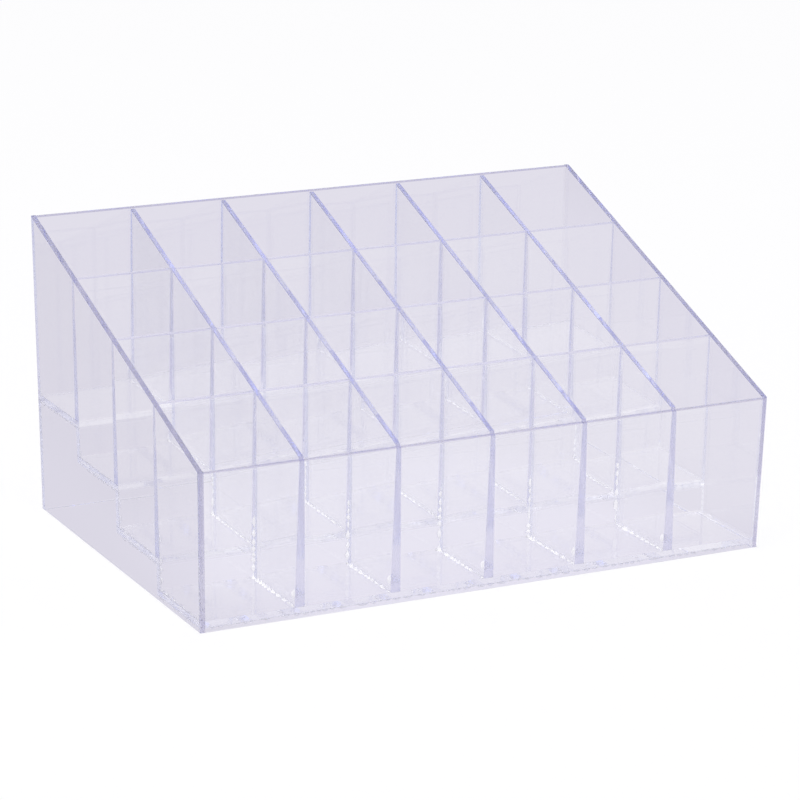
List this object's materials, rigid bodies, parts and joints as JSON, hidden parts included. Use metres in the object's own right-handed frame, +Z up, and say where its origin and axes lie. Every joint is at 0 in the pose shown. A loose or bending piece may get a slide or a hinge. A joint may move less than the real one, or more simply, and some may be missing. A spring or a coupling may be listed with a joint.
{
  "type": "vanity organizer",
  "caption": "Clear plastic vanity organizer for lipsticks: a grid of open upright cells on a stepped floor, with a slanted top that rises from front to back.",
  "frame": {"origin": "middle of the base, on the surface that the organizer stands on", "axes": "+X to the right along the rows, +Y from the low front to the high back, +Z up"},
  "size_m": [0.1448, 0.0972, 0.0722],
  "materials": {
    "clear_plastic": "polished clear polystyrene with a faint lavender tint that deepens at the edges"
  },
  "bodies": {
    "root": {"left_side_panel": "clear_plastic", "right_side_panel": "clear_plastic", "front_panel": "clear_plastic", "back_panel": "clear_plastic", "floor_1": "clear_plastic", "floor_2": "clear_plastic", "floor_3": "clear_plastic", "floor_4": "clear_plastic", "riser_1": "clear_plastic", "riser_2": "clear_plastic", "riser_3": "clear_plastic", "row_divider_1": "clear_plastic", "row_divider_2": "clear_plastic", "row_divider_3": "clear_plastic", "column_divider_1": "clear_plastic", "column_divider_2": "clear_plastic", "column_divider_3": "clear_plastic", "column_divider_4": "clear_plastic", "column_divider_5": "clear_plastic"}
  },
  "joints": []
}
